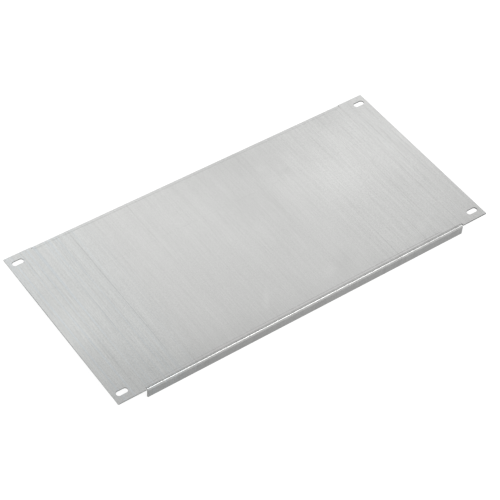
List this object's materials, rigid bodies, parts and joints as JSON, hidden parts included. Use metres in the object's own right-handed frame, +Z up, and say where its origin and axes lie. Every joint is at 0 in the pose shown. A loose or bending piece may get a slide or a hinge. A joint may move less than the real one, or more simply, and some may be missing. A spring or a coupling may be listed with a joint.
{
  "type": "enclosure mounting plate",
  "caption": "Flat sheet-metal mounting plate with folded-down long flanges and a slotted fixing tab at each corner.",
  "frame": {"origin": "centre of the footprint, on the plane of the flanges' lower edges", "axes": "+X along the long sides, +Y across the plate, +Z up out of the mounting face"},
  "size_m": [0.412, 0.1968, 0.0108],
  "materials": {
    "mill_finish_sheet": "mill finish with fine rolling lines across the plate"
  },
  "bodies": {
    "root": {"mounting_plate": "mill_finish_sheet"}
  },
  "joints": []
}
